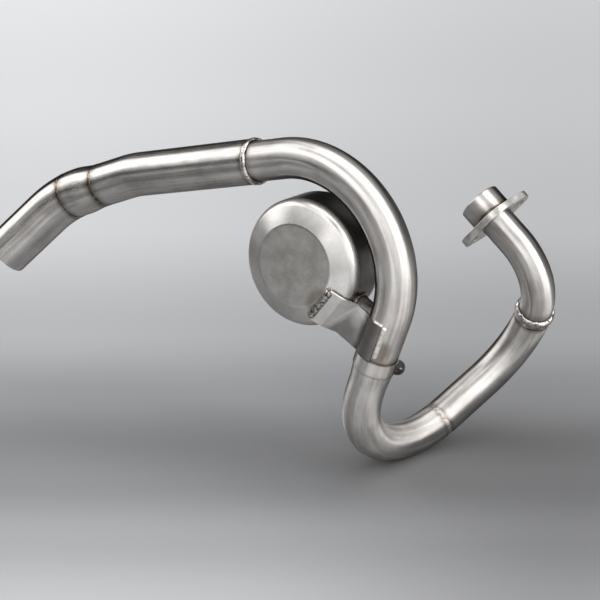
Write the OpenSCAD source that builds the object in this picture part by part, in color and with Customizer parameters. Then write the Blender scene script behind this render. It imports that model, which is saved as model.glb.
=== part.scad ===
// Exhaust header of a single-cylinder motorcycle, welded from bent stainless steel tubes.
// +X points to the front of the motorcycle, +Y to its left side and +Z up.
// The origin is the middle of the flange face that clamps against the cylinder head.
// The gas runs from the inlet spigot through every tube in turn and leaves at the tail tube.

/* [Tubes] */
// Outside diameter of the front tube
front_tube_d = 35; // [33:0.5:36.5]
// Outside diameter of the lower tube and of the U bend
lower_tube_d = 38; // [37.5:0.5:39.5]
// Outside diameter of the tube that arches over the resonator
arc_tube_d = 40; // [39.5:0.5:42]
// Outside diameter of the straight middle tube
mid_tube_d = 45; // [44:0.5:48]
// Outside diameter of the tail tube, over which the silencer link is pushed
tail_tube_d = 50; // [48:0.5:54]
// Wall of every tube
tube_wall = 1.2; // [1:0.1:1.5]
// How much the wall thins on each of its faces where a tube is bent
bend_draw = 0.02; // [0.02:0.01:0.05]

/* [Route] */
// Corner below the port, forward of the flange face
front_corner_x = 67; // [64:1:72]
// Corner below the port, below the flange face
front_corner_drop = 53; // [50:1:56]
// Corner on the left of the engine, forward
inner_corner_x = 13; // [10:1:16]
// Corner on the left of the engine, to the left
inner_corner_y = 41; // [38:1:44]
// Corner on the left of the engine, below the flange face
inner_corner_drop = 152; // [148:1:158]
// Distance from the port to the plane of the side loop, to the right
side_plane = 188; // [180:1:196]
// Corner of the U bend, rearward
sump_corner_back = 84; // [80:1:88]
// Corner of the U bend, below the flange face
sump_corner_drop = 303; // [296:1:310]
// Corner of the big arc, forward
arc_corner_x = 68; // [62:1:74]
// Corner of the big arc, above the flange face
arc_corner_rise = 131; // [125:1:140]
// Corner of the kink, rearward
kink_corner_back = 315; // [305:1:330]
// Corner of the kink, above the flange face
kink_corner_rise = 33; // [28:1:38]
// Corner of the tail bend, rearward of the kink
tail_corner_back = 90; // [86:1:96]
// Corner of the tail bend, to the right of the side plane
tail_corner_side = 12; // [8:1:16]
// Corner of the tail bend, below the kink
tail_corner_drop = 37; // [33:1:41]
// Tail end, rearward of the tail bend's corner
tail_end_back = 56; // [52:1:70]
// Tail end, to the right of the tail bend's corner
tail_end_side = 35; // [30:1:40]
// Tail end, below the tail bend's corner
tail_end_drop = 64; // [60:1:75]
// Centre-line radius of the front tube's bend
front_bend_r = 61; // [58:1:62]
// Centre-line radius of the lower tube's bend
lower_bend_r = 75; // [70:1:78]
// Centre-line radius of the U bend
u_bend_r = 92; // [86:1:95]
// Centre-line radius of the big arc
arc_bend_r = 105; // [100:1:107]
// Centre-line radius of the kink
kink_bend_r = 95; // [85:1:105]
// Centre-line radius of the tail bend
tail_bend_r = 100; // [90:1:108]

/* [Joints along the route] */
// Turn at the end of the lower tube that already belongs to the U bend, in degrees
lower_weld_turn = 7; // [4:1:12]
// Length from the end of the U bend to the rim of the slip socket
slip_rim_reach = 38; // [36:1:42]
// Depth of the slip socket
socket_depth = 13; // [10:1:14]
// Length of the round tube below the socket's step
socket_neck = 13; // [9:1:13]
// Length of each cone at a change of diameter
swage_length = 4; // [3:0.5:4.5]
// Clearance around a tube that slips into another
slip_clearance = 0.1; // [0.05:0.05:0.3]
// Length from the end of the big arc to the rim of the middle tube
arc_runout = 36; // [30:1:44]
// Length from the end of the kink to the expander
mid_runout = 35; // [30:1:40]
// Turn of the tail bend that belongs to the expander, in degrees
tail_weld_turn = 9; // [5:1:14]

/* [Weld beads] */
// Height of a bead over a butt joint
bead_height = 0.8; // [0.5:0.1:1.2]
// Width of a bead over a butt joint
bead_width = 5; // [3:0.5:7]
// Length of the wide bead where the front tube enters the lower tube
front_bead_length = 9; // [7:0.5:11]

/* [Inlet] */
// Diameter of the spigot that seats in the port
spigot_d = 44; // [43:0.5:48]
// Length of the spigot ahead of the flange
spigot_length = 17; // [14:0.5:20]
// Width of the groove turned behind the spigot
groove_width = 1.5; // [1:0.5:2.5]
// Depth of the groove turned behind the spigot
groove_depth = 2; // [1:0.5:2.5]
// Chamfer at the spigot's mouth
spigot_chamfer = 1; // [0.5:0.25:1.5]
// Thickness of the flange plate
flange_t = 9; // [7:0.5:10]
// Distance between the stud holes
stud_spacing = 60; // [58:1:66]
// Diameter of the stud holes
stud_hole_d = 8.5; // [8:0.25:9]
// Radius of the flange plate around the tube
flange_r = 26; // [25:0.5:28]
// Radius of each ear
ear_r = 11.5; // [10:0.5:12.5]
// Turn of the stud line about the port, from the motorcycle's cross axis, in degrees
stud_turn = 43; // [0:1:90]
// Clearance of the flange around the front tube
flange_clearance = 0.2; // [0.1:0.1:0.4]

/* [Resonator] */
// Outside radius of the drum
drum_r = 62.5; // [60:0.5:64]
// Depth of the drum's wall
drum_depth = 34; // [32:1:38]
// Thickness of the drum's sheet
drum_sheet = 1.5; // [1.2:0.1:2]
// Height of the outer lid over the drum's rim
lid_rise = 18; // [15:0.5:20]
// Radius of the outer lid's flat
lid_flat_r = 39; // [36:0.5:42]
// Rounding of the outer lid at the rim
lid_shoulder_r = 11; // [8:0.5:13]
// Rounding of the outer lid around its flat
lid_flat_edge_r = 5; // [3:0.5:7]
// Height of the inner lid over the drum's rim
back_rise = 9; // [7:0.5:12]
// Middle of the drum's outer rim, rearward
drum_back = 85; // [83:0.5:86]
// Middle of the drum's outer rim, below the flange face
drum_drop = 10; // [8:0.5:11]
// Distance from the side plane out to the drum's outer rim
drum_out = 19; // [17:0.5:21]
// Turn of the drum's outer face toward the front, in degrees
drum_turn = 3.4; // [0:0.2:5]
// Tilt of the drum's outer face upward, in degrees
drum_tilt = 2.9; // [0:0.2:5]
// Outside diameter of the neck between the arc tube and the drum
neck_d = 22; // [18:1:24]
// Distance from the big arc down to the neck
neck_drop = 15; // [14:1:18]
// Height of the neck's weld beads
neck_bead = 2; // [1.5:0.5:3]

/* [Bracket] */
// Thickness of the bracket's sheet
bracket_sheet = 2; // [1.5:0.5:2.5]
// Width of the bracket's strip
strip_width = 41; // [36:1:44]
// Turn of the strip below the horizontal, in degrees
strip_turn = 38; // [34:1:42]
// Shift of the strip along its folds
strip_shift = 5.5; // [3:0.5:8]
// Distance from the drum's axis to the strip's foot
strip_foot = 44; // [42:0.5:46]
// Distance from the drum's axis to the first fold
strip_fold = 56; // [54:0.5:58]
// Distance from the drum's axis to the second fold
strip_ridge = 68.5; // [66:0.5:70]
// Height of the second fold over the side plane
ridge_height = 17; // [15:0.5:20]
// Distance from the drum's axis to the strip's hidden end under the saddle
strip_end = 100; // [98:1:102]
// Height of the strip's hidden end over the side plane
end_height = 10; // [8:0.5:12]
// Height of the saddle along the arc tube
saddle_length = 40; // [36:1:40]
// Turn of the saddle's hidden edge behind the outermost line of the tube, in degrees
saddle_back_turn = 50; // [44:1:54]
// Turn of the saddle's free edge past the outermost line of the tube, in degrees
saddle_edge_turn = 12; // [6:1:20]
// Gap between the saddle and the slip socket's rim
saddle_gap = 1.5; // [1:0.5:3]
// Width of the weld bead on the lid
lid_bead_width = 8; // [6:0.5:9]
// Turn of the weld bead along the saddle's upper edge, in degrees
tube_bead_turn = 26; // [18:1:34]

/* [Spring lug] */
// Radius of the lug's round edge
lug_r = 8; // [6:0.5:9]
// Thickness of the lug
lug_t = 3; // [2:0.5:4]
// Turn of the lug about the socket from the outermost line, in degrees
lug_turn = 115; // [90:1:140]
// Diameter of the hole for the spring's hook
lug_hole_d = 3.5; // [3:0.25:4]

/* [Hidden] */
$fn = 96;

steel = "#b9b6b0";
steel_dark = "#97938c";
weld_grey = "#8a8379";
cut_through = 1;

// A straight length runs on into a bend as a thinner tongue inside the bend's wall
tongue = 1.5;
tongue_thin = 0.1;

// Corners of the centre line, from the flange face to the tail end
corners = [[0, 0, 0],
           [front_corner_x, 0, -front_corner_drop],
           [inner_corner_x, inner_corner_y, -inner_corner_drop],
           [-sump_corner_back, -side_plane, -sump_corner_drop],
           [arc_corner_x, -side_plane, arc_corner_rise],
           [-kink_corner_back, -side_plane, kink_corner_rise],
           [-kink_corner_back - tail_corner_back, -side_plane - tail_corner_side,
            kink_corner_rise - tail_corner_drop],
           [-kink_corner_back - tail_corner_back - tail_end_back,
            -side_plane - tail_corner_side - tail_end_side,
            kink_corner_rise - tail_corner_drop - tail_end_drop]];

// Centre-line radius at each corner, with nothing at the two ends
radii = [0, front_bend_r, lower_bend_r, u_bend_r, arc_bend_r, kink_bend_r, tail_bend_r, 0];

FRONT = 1;
LOWER = 2;
U = 3;
ARC = 4;
KINK = 5;
TAIL = 6;

function unit(v) = v / norm(v);
function heading(i) = unit(corners[i + 1] - corners[i]);
function turn(i) = acos(heading(i - 1) * heading(i));
function tangent(i) = radii[i] * tan(turn(i) / 2);
function bend_start(i) = corners[i] - heading(i - 1) * tangent(i);
function bend_end(i) = corners[i] + heading(i) * tangent(i);
function inward(i) = unit(heading(i) - (heading(i) * heading(i - 1)) * heading(i - 1));
function straight(i) = norm(corners[i + 1] - corners[i])
    - (i > 0 ? tangent(i) : 0)
    - (i < len(corners) - 2 ? tangent(i + 1) : 0);

// Moves to a place and turns +Z to a heading
module along(place, direction) {
    translate(place)
        rotate([0, acos(direction[2]), atan2(direction[1], direction[0])])
            children();
}

// Turns bend i's own plane to the route: its centre is the origin, its start lies on +X
module in_bend(i) {
    x = -inward(i);
    y = heading(i - 1);
    z = cross(x, y);
    c = bend_start(i) + inward(i) * radii[i];
    multmatrix([[x[0], y[0], z[0], c[0]],
                [x[1], y[1], z[1], c[1]],
                [x[2], y[2], z[2], c[2]],
                [0, 0, 0, 1]])
        children();
}

// A length of tube that follows bend i from one turn to another
module bent_tube(i, d, from_turn, to_turn, wall = tube_wall) {
    in_bend(i)
        rotate([0, 0, from_turn])
            rotate_extrude(angle = to_turn - from_turn)
                translate([radii[i], 0])
                    difference() {
                        circle(r = d / 2 - bend_draw);
                        circle(r = d / 2 - wall + bend_draw);
                    }
}

// A straight tube whose diameter may change: each step is [place along the axis, outside diameter]
module stepped_tube(steps, from_bend = false, to_bend = false, wall = tube_wall) {
    last = len(steps) - 1;
    start = steps[0];
    end = steps[last];
    rotate_extrude()
        polygon(concat(
            from_bend ? [[start[1] / 2 - wall + tongue_thin, start[0] - tongue],
                         [start[1] / 2 - tongue_thin, start[0] - tongue]] : [],
            [for (k = [0:last]) [steps[k][1] / 2, steps[k][0]]],
            to_bend ? [[end[1] / 2 - tongue_thin, end[0] + tongue],
                       [end[1] / 2 - wall + tongue_thin, end[0] + tongue]] : [],
            [for (k = [last:-1:0]) [steps[k][1] / 2 - wall, steps[k][0]]]));
}

// A straight length of tube
module straight_tube(d, length, from_bend = false, to_bend = false) {
    stepped_tube([[0, d], [length, d]], from_bend, to_bend);
}

// A round bead on a tube: the part of a flat ellipse that stands out of it
module bead(d, width = bead_width, height = bead_height) {
    round_r = (width * width / 4 + height * height) / (2 * height);
    rotate_extrude()
        intersection() {
            translate([d / 2, -width / 2])
                square([height, width]);
            translate([d / 2 + height - round_r, 0])
                circle(r = round_r);
        }
}

flange_axis = heading(0);
front_tube_seat = 6;
touch_depth = 0.05;

// Turned bush that seats in the port, with a groove behind it
module inlet_spigot() {
    color(steel)
        along([0, 0, 0], flange_axis)
            rotate_extrude()
                polygon([[front_tube_d / 2 - tube_wall, -spigot_length],
                         [spigot_d / 2 - spigot_chamfer, -spigot_length],
                         [spigot_d / 2, spigot_chamfer - spigot_length],
                         [spigot_d / 2, -groove_width],
                         [spigot_d / 2 - groove_depth, -groove_width],
                         [spigot_d / 2 - groove_depth, 0],
                         [front_tube_d / 2, 0],
                         [front_tube_d / 2, -front_tube_seat],
                         [front_tube_d / 2 - tube_wall, -front_tube_seat]]);
}

// Points where a line touches the plate's round middle and its ear
function flange_touch(r) =
    let (a = acos((flange_r - ear_r) / (stud_spacing / 2)))
    (r - touch_depth) * [cos(a), sin(a)];

// Oval plate with an ear for each stud
module head_flange() {
    middle = flange_touch(flange_r);
    ear = [stud_spacing / 2, 0] + flange_touch(ear_r);
    color(steel_dark)
        along([0, 0, 0], flange_axis)
            rotate([0, 0, 90 + stud_turn])
                difference() {
                    union() {
                        cylinder(r = flange_r, h = flange_t);
                        for (side = [-1, 1])
                            translate([side * stud_spacing / 2, 0, 0])
                                cylinder(r = ear_r, h = flange_t);
                        linear_extrude(flange_t)
                            polygon([middle, ear, [ear[0], -ear[1]], [middle[0], -middle[1]],
                                     [-middle[0], -middle[1]], [-ear[0], -ear[1]],
                                     [-ear[0], ear[1]], [-middle[0], middle[1]]]);
                    }
                    translate([0, 0, -cut_through])
                        cylinder(d = front_tube_d + 2 * flange_clearance,
                                 h = flange_t + 2 * cut_through);
                    for (side = [-1, 1])
                        translate([side * stud_spacing / 2, 0, -cut_through])
                            cylinder(d = stud_hole_d, h = flange_t + 2 * cut_through);
                }
}

front_overlap = 5;

// First tube: out of the flange and round under the port
module front_tube() {
    color(steel) {
        along(-flange_axis * front_tube_seat, flange_axis)
            straight_tube(front_tube_d, straight(0) + front_tube_seat, to_bend = true);
        bent_tube(FRONT, front_tube_d, 0, turn(FRONT));
        along(bend_end(FRONT), heading(FRONT))
            straight_tube(front_tube_d, front_overlap, from_bend = true);
    }
}

// Wide bead that closes the step from the front tube to the lower tube
module front_weld() {
    color(weld_grey)
        along(bend_end(FRONT), heading(FRONT))
            rotate_extrude()
                difference() {
                    intersection() {
                        translate([front_tube_d / 2, 0])
                            square([lower_tube_d, front_bead_length]);
                        translate([lower_tube_d / 2 + bead_height - front_bead_length,
                                   front_bead_length / 2])
                            circle(r = front_bead_length);
                    }
                    translate([0, front_overlap])
                        square([lower_tube_d / 2, front_bead_length]);
                }
}

// Second tube: down the left of the engine and under it
module lower_tube() {
    color(steel) {
        along(bend_end(FRONT) + heading(FRONT) * front_overlap, heading(FRONT))
            straight_tube(lower_tube_d, straight(FRONT) - front_overlap, to_bend = true);
        bent_tube(LOWER, lower_tube_d, 0, turn(LOWER));
        along(bend_end(LOWER), heading(LOWER))
            straight_tube(lower_tube_d, straight(LOWER), from_bend = true, to_bend = true);
        bent_tube(U, lower_tube_d, 0, lower_weld_turn);
    }
}

// Bead between the lower tube and the U bend
module lower_weld() {
    color(weld_grey)
        in_bend(U)
            rotate([0, 0, lower_weld_turn])
                translate([radii[U], 0, 0])
                    rotate([90, 0, 0])
                        bead(lower_tube_d);
}

socket_bore = arc_tube_d + 2 * slip_clearance;
socket_d = socket_bore + 2 * tube_wall;
socket_run = [slip_rim_reach - socket_depth - socket_neck - 2 * swage_length,
              slip_rim_reach - socket_depth - socket_neck - swage_length,
              slip_rim_reach - socket_depth - swage_length,
              slip_rim_reach - socket_depth];

// The U bend, with its end widened in two steps into the slip socket
module u_bend_tube() {
    color(steel) {
        bent_tube(U, lower_tube_d, lower_weld_turn, turn(U));
        along(bend_end(U), heading(U))
            stepped_tube([[0, lower_tube_d],
                          [socket_run[0], lower_tube_d],
                          [socket_run[1], arc_tube_d],
                          [socket_run[2], arc_tube_d],
                          [socket_run[3], socket_d],
                          [slip_rim_reach, socket_d]],
                         from_bend = true);
    }
}

slip_rim = bend_end(U) + heading(U) * slip_rim_reach;

// Stands on the arc tube's axis at the rim, with +X pointing out to the right of the motorcycle
module at_slip_rim() {
    x = [0, -1, 0];
    z = heading(U);
    y = cross(z, x);
    multmatrix([[x[0], y[0], z[0], slip_rim[0]],
                [x[1], y[1], z[1], slip_rim[1]],
                [x[2], y[2], z[2], slip_rim[2]],
                [0, 0, 0, 1]])
        children();
}

lug_middle = socket_depth / 2;
lug_root = 1;

// Half-round ear on the socket for a spring's hook
module spring_lug() {
    color(steel_dark)
        at_slip_rim()
            rotate([0, 0, lug_turn])
                difference() {
                    translate([socket_d / 2, lug_t / 2, -lug_middle])
                        rotate([90, 0, 0])
                            linear_extrude(lug_t)
                                difference() {
                                    circle(r = lug_r);
                                    translate([lug_r / 2, 0])
                                        circle(d = lug_hole_d);
                                }
                    translate([0, 0, -lug_middle - 2 * lug_r])
                        cylinder(d = socket_d, h = 4 * lug_r);
                }
}

// Fillet of weld along the foot of the lug
module spring_lug_weld() {
    color(weld_grey)
        at_slip_rim()
            rotate([0, 0, lug_turn])
                difference() {
                    translate([socket_d / 2, 0, -lug_middle - lug_r / 2])
                        cylinder(r = lug_t / 2 + lug_root, h = lug_r);
                    translate([0, -lug_t / 2, -lug_middle - 2 * lug_r])
                        cube([socket_d, lug_t, 4 * lug_r]);
                    translate([0, 0, -lug_middle - 2 * lug_r])
                        cylinder(d = socket_d, h = 4 * lug_r);
                }
}

mid_rim = bend_end(ARC) + heading(ARC) * arc_runout;

// The tube from the slip joint up and over the resonator
module arc_tube() {
    color(steel)
        difference() {
            union() {
                along(slip_rim - heading(U) * socket_depth, heading(U))
                    straight_tube(arc_tube_d, straight(U) - slip_rim_reach + socket_depth,
                                  to_bend = true);
                bent_tube(ARC, arc_tube_d, 0, turn(ARC));
                along(bend_end(ARC), heading(ARC))
                    straight_tube(arc_tube_d, arc_runout, from_bend = true);
            }
            neck_line(neck_d - 2 * tube_wall);
        }
}

// Fillet bead where the arc tube enters the larger middle tube
module arc_weld() {
    step = (mid_tube_d - arc_tube_d) / 2;
    color(weld_grey)
        along(mid_rim, heading(ARC))
            rotate_extrude()
                difference() {
                    translate([arc_tube_d / 2, 0])
                        circle(r = step + bead_height);
                    translate([0, -mid_tube_d])
                        square([arc_tube_d / 2, 2 * mid_tube_d]);
                    square(mid_tube_d);
                }
}

// Larger tube from the arc back to the expander, with its rim turned in to the arc tube
module mid_tube() {
    rim_r = (mid_tube_d - tube_wall) / 2;
    color(steel) {
        along(mid_rim, heading(ARC)) {
            straight_tube(mid_tube_d, straight(ARC) - arc_runout, to_bend = true);
            rotate_extrude()
                polygon([[arc_tube_d / 2, 0],
                         [rim_r, 0],
                         [rim_r, swage_length],
                         [mid_tube_d / 2 - tube_wall, swage_length],
                         [arc_tube_d / 2, tube_wall]]);
        }
        bent_tube(KINK, mid_tube_d, 0, turn(KINK));
        along(bend_end(KINK), heading(KINK))
            straight_tube(mid_tube_d, mid_runout, from_bend = true);
    }
}

expander_foot = bend_end(KINK) + heading(KINK) * mid_runout;

module expander_cone() {
    stepped_tube([[0, mid_tube_d], [straight(KINK) - mid_runout, tail_tube_d]], to_bend = true);
}

// Bead between the middle tube and the expander
module mid_weld() {
    color(weld_grey)
        along(expander_foot, heading(KINK))
            difference() {
                bead(mid_tube_d);
                expander_cone();
            }
}

// Cone that widens the pipe to the tail's diameter, with the first degrees of the tail bend
module expander() {
    color(steel) {
        along(expander_foot, heading(KINK))
            expander_cone();
        bent_tube(TAIL, tail_tube_d, 0, tail_weld_turn);
    }
}

// Bead between the expander and the tail tube
module tail_weld() {
    color(weld_grey)
        in_bend(TAIL)
            rotate([0, 0, tail_weld_turn])
                translate([radii[TAIL], 0, 0])
                    rotate([90, 0, 0])
                        bead(tail_tube_d);
}

// Last tube, bent down and out to the silencer
module tail_tube() {
    color(steel) {
        bent_tube(TAIL, tail_tube_d, tail_weld_turn, turn(TAIL));
        along(bend_end(TAIL), heading(TAIL))
            straight_tube(tail_tube_d, straight(TAIL), from_bend = true);
    }
}

drum_middle = [-drum_back, -side_plane - drum_out, -drum_drop];
drum_axis = unit([tan(drum_turn), -1, tan(drum_tilt)]);

// Points of a round stretch of an outline
function arc_points(centre, r, from_angle, to_angle, steps = 8) =
    [for (k = [0:steps])
        let (a = from_angle + (to_angle - from_angle) * k / steps)
        centre + r * [cos(a), sin(a)]];

// Slope of the outer lid between its two round stretches, in degrees from the flat
function lid_slope() =
    let (run = drum_r - lid_shoulder_r - lid_flat_r,
         rise = lid_rise - lid_flat_edge_r,
         reach = norm([run, rise]),
         lift = atan2(rise, run))
    lift - asin((lid_shoulder_r - lid_flat_edge_r) / reach);

// Outline of the outer lid grown or shrunk by a margin, from the axis to the rim
function lid_outline(inset) =
    let (slope = 90 - lid_slope())
    concat([[0, 0], [0, lid_rise - inset]],
           arc_points([lid_flat_r, lid_rise - lid_flat_edge_r], lid_flat_edge_r - inset,
                      90, slope),
           arc_points([drum_r - lid_shoulder_r, 0], lid_shoulder_r - inset, slope, 0));

module at_drum() {
    along(drum_middle, drum_axis)
        children();
}

module lid_solid(inset = 0) {
    rotate_extrude()
        polygon(lid_outline(inset));
}

// Pressed lid on the drum's outer side
module drum_outer_lid() {
    color(steel)
        at_drum()
            difference() {
                lid_solid();
                lid_solid(drum_sheet);
            }
}

module drum_core(r) {
    at_drum()
        translate([0, 0, -drum_depth])
            cylinder(r = r, h = drum_depth);
}

// The drum's round wall, open where the neck enters
module drum_shell() {
    color(steel)
        difference() {
            drum_core(drum_r);
            at_drum()
                translate([0, 0, -drum_depth - cut_through])
                    cylinder(r = drum_r - drum_sheet, h = drum_depth + 2 * cut_through);
            neck_line(neck_d - 2 * tube_wall);
        }
}

// Dished lid on the drum's inner side
module drum_inner_lid() {
    color(steel)
        at_drum()
            translate([0, 0, -drum_depth])
                rotate([180, 0, 0])
                    rotate_extrude()
                        polygon(concat([[0, back_rise - drum_sheet], [0, back_rise]],
                                       arc_points([drum_r - back_rise, 0], back_rise, 90, 0),
                                       arc_points([drum_r - back_rise, 0],
                                                  back_rise - drum_sheet, 0, 90)));
}

// The neck leaves the arc tube just below the big arc and points at the drum's middle
neck_foot = bend_start(ARC) - heading(U) * neck_drop;
neck_aim = drum_middle - drum_axis * drum_depth / 2;
neck_axis = unit(neck_aim - neck_foot);

module neck_line(d) {
    along(neck_foot, neck_axis)
        cylinder(d = d, h = norm(neck_aim - neck_foot));
}

// The straight line of the arc tube, as a solid
module arc_line(d) {
    along(slip_rim - heading(U) * socket_depth, heading(U))
        cylinder(d = d, h = straight(U) - slip_rim_reach + 2 * socket_depth);
}

// Short tube between the arc tube and the drum
module drum_neck() {
    color(steel)
        difference() {
            neck_line(neck_d);
            neck_bore();
            arc_line(arc_tube_d);
            drum_core(drum_r);
        }
}

module neck_bore() {
    along(neck_foot - neck_axis * cut_through, neck_axis)
        cylinder(d = neck_d - 2 * tube_wall, h = norm(neck_aim - neck_foot) + 2 * cut_through);
}

// Fillet of weld around the neck on the arc tube
module neck_tube_weld() {
    color(weld_grey)
        difference() {
            intersection() {
                neck_line(neck_d + 2 * neck_bead);
                arc_line(arc_tube_d + 2 * neck_bead);
            }
            neck_line(neck_d);
            arc_line(arc_tube_d);
        }
}

// Fillet of weld around the neck on the drum
module neck_drum_weld() {
    color(weld_grey)
        difference() {
            intersection() {
                neck_line(neck_d + 2 * neck_bead);
                drum_core(drum_r + neck_bead);
            }
            neck_line(neck_d);
            drum_core(drum_r);
        }
}

// Height of the outer lid's cone over the drum's rim, at a distance from the drum's axis
function lid_height(r) =
    lid_rise - lid_flat_edge_r + lid_flat_edge_r / cos(lid_slope())
    - (r - lid_flat_r) * tan(lid_slope());

// Inner line of the folded strip: distance from the drum's axis and height over the side plane
strip_line = [[strip_foot, drum_out + lid_height(strip_foot)],
              [strip_fold, drum_out + lid_height(strip_fold)],
              [strip_ridge, ridge_height],
              [strip_end, end_height]];

function normal(a, b) = let (u = unit(b - a)) [-u[1], u[0]];

// A line moved sideways by the sheet's thickness, with mitred folds
function moved_line(line, t) =
    [for (k = [0:len(line) - 1])
        let (n1 = normal(line[max(k - 1, 0)], line[max(k, 1)]),
             n2 = normal(line[min(k, len(line) - 2)], line[min(k + 1, len(line) - 1)]))
        line[k] + t * (n1 + n2) / (1 + n1 * n2)];

function reversed(list) = [for (k = [len(list) - 1:-1:0]) list[k]];

// Stands on the side plane at the drum, +X toward the arc tube, +Y outward, +Z down the folds
module at_strip() {
    c = cos(strip_turn);
    s = sin(strip_turn);
    multmatrix([[c, 0, -s, drum_middle[0]],
                [0, -1, 0, -side_plane],
                [-s, 0, -c, drum_middle[2]],
                [0, 0, 0, 1]])
        children();
}

module strip() {
    at_strip()
        translate([0, 0, strip_shift - strip_width / 2])
            linear_extrude(strip_width)
                polygon(concat(strip_line, reversed(moved_line(strip_line, bracket_sheet))));
}

saddle_top = saddle_gap + saddle_length;

module saddle() {
    at_slip_rim()
        translate([0, 0, saddle_gap])
            rotate([0, 0, -saddle_back_turn])
                rotate_extrude(angle = saddle_back_turn + saddle_edge_turn)
                    translate([arc_tube_d / 2, 0])
                        square([bracket_sheet, saddle_length]);
}

// Folded strip from the lid to a saddle that is wrapped round the arc tube
module support_bracket() {
    color(steel)
        difference() {
            union() {
                strip();
                saddle();
            }
            arc_line(arc_tube_d);
            at_drum()
                lid_solid();
        }
}

// Rounded bead of weld along the strip's foot on the lid
module bracket_lid_weld() {
    half = (strip_width - lid_bead_width) / 2;
    color(weld_grey)
        difference() {
            at_strip()
                translate([strip_foot, drum_out + lid_height(strip_foot), strip_shift])
                    rotate_extrude()
                        intersection() {
                            union() {
                                square([lid_bead_width, 2 * half], center = true);
                                for (end = [-1, 1])
                                    translate([0, end * half])
                                        circle(d = lid_bead_width);
                            }
                            translate([0, -strip_width])
                                square([lid_bead_width, 2 * strip_width]);
                        }
            at_drum()
                lid_solid();
            strip();
        }
}

// Short bead across the saddle's upper corner
module bracket_tube_weld() {
    color(weld_grey)
        difference() {
            at_slip_rim()
                translate([0, 0, saddle_top])
                    rotate([0, 0, saddle_edge_turn - tube_bead_turn])
                        rotate_extrude(angle = tube_bead_turn)
                            translate([arc_tube_d / 2, 0])
                                intersection() {
                                    circle(r = bracket_sheet);
                                    square(bracket_sheet);
                                }
            arc_line(arc_tube_d);
        }
}

inlet_spigot();
head_flange();
front_tube();
front_weld();
lower_tube();
lower_weld();
u_bend_tube();
spring_lug();
spring_lug_weld();
arc_tube();
arc_weld();
mid_tube();
mid_weld();
expander();
tail_weld();
tail_tube();
drum_shell();
drum_outer_lid();
drum_inner_lid();
drum_neck();
neck_tube_weld();
neck_drum_weld();
support_bracket();
bracket_lid_weld();
bracket_tube_weld();
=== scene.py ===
# %% [markdown]
# # An exhaust header in satin stainless steel
# The real header is cut, bent and welded from stainless tubes of five diameters, with a pressed
# resonator drum held by a folded bracket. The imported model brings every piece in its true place.
# Its meshes are loose triangles, which would show as facets in the long soft reflections, so most
# pieces are modelled again here from the same driving sizes and stand where the CAD pieces stand.

import math

import bmesh
import bpy
from mathutils import Matrix, Vector, noise


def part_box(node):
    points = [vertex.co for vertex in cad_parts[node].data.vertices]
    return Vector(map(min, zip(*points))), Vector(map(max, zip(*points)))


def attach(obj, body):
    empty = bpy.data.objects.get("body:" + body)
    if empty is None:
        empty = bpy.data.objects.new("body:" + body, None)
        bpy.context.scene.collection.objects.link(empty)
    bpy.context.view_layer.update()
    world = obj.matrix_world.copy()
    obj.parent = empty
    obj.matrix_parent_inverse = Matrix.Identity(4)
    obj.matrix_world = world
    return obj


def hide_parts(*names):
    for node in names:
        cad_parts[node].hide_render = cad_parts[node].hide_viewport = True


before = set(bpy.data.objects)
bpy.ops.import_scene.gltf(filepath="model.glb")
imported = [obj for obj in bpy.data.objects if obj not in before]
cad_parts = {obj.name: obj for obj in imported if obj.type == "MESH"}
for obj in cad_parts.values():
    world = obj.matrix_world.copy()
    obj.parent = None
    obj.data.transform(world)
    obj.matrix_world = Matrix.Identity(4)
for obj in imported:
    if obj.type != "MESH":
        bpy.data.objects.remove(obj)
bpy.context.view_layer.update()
MM = 0.001

# %% [markdown]
# ## The route of the pipe
# A bender makes a pipe from straight lengths and arcs. The route could be a curve with handles,
# but then its bends would not be true arcs. So it is held as the bender holds it: the corners
# where the straight lines would cross, and the radius of the centre line at each corner.

# %% The driving sizes of the route
corners = [
    Vector(place) * MM
    for place in [
        (0, 0, 0),
        (67, 0, -53),
        (13, 41, -152),
        (-84, -188, -303),
        (68, -188, 131),
        (-315, -188, 33),
        (-405, -200, -4),
        (-461, -235, -68),
    ]
]
bend_radii = [radius * MM for radius in (0, 61, 75, 92, 105, 95, 100, 0)]
FRONT, LOWER, U_BEND, ARC, KINK, TAIL = range(1, 7)

front_tube_d = 35 * MM
lower_tube_d = 38 * MM
arc_tube_d = 40 * MM
mid_tube_d = 45 * MM
tail_tube_d = 50 * MM
tube_wall = 1.2 * MM
print("the route has", len(corners), "corners")

# %% [markdown]
# ## Where the bends start and end
# An arc that touches both straight lines at a corner starts and ends at the same distance from
# it. That distance follows from the radius and the angle of the turn, so none of these places is
# typed, and a change of one corner moves everything that hangs on it.


# %% Measures of a bend
def heading(i):
    return (corners[i + 1] - corners[i]).normalized()


def turn(i):
    return heading(i - 1).angle(heading(i))


def tangent(i):
    return bend_radii[i] * math.tan(turn(i) / 2)


def bend_start(i):
    return corners[i] - heading(i - 1) * tangent(i)


def bend_end(i):
    return corners[i] + heading(i) * tangent(i)


def bend_axis(i):
    return heading(i - 1).cross(heading(i)).normalized()


def bend_centre(i):
    return bend_start(i) + bend_axis(i).cross(heading(i - 1)) * bend_radii[i]


print("bends in degrees:", [round(math.degrees(turn(i)), 1) for i in range(FRONT, TAIL + 1)])


# %% Measures between bends and within one
def straight(i):
    """The length of the straight run that follows corner i."""
    start = bend_end(i) if i > 0 else corners[0]
    end = bend_start(i + 1) if i + 2 < len(corners) else corners[i + 1]
    return (end - start).length


def on_bend(i, angle):
    """The place and the heading after a part of bend i."""
    swing = Matrix.Rotation(angle, 3, bend_axis(i))
    centre = bend_centre(i)
    return centre + swing @ (bend_start(i) - centre), swing @ heading(i - 1)


print("straight runs in mm:", [round(straight(i) / MM, 1) for i in range(len(corners) - 1)])

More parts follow.
